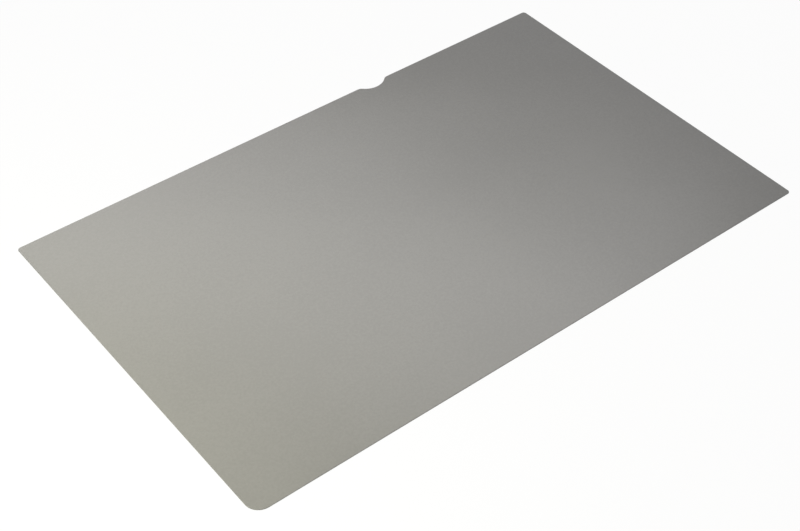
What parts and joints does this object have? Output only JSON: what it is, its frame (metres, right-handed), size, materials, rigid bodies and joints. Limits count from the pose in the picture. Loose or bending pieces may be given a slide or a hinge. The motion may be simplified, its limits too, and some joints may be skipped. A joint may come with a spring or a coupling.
{
  "type": "monitor privacy filter",
  "caption": "Thin flat rectangular sheet of grey louvre film with rounded corners and a shallow finger notch in one long edge; laid over a screen, it darkens the view from the sides.",
  "frame": {"origin": "middle of the back face, which the sheet lies on", "axes": "+X along the long edges, +Y towards the notched long edge, +Z out of the front face"},
  "size_m": [0.408, 0.255, 0.0005],
  "materials": {
    "louvre_film": "grey louvre film with a satin hard coat on the front and a glossier back, fine louvres across the width"
  },
  "bodies": {
    "root": {"filter_sheet": "louvre_film"}
  },
  "joints": []
}
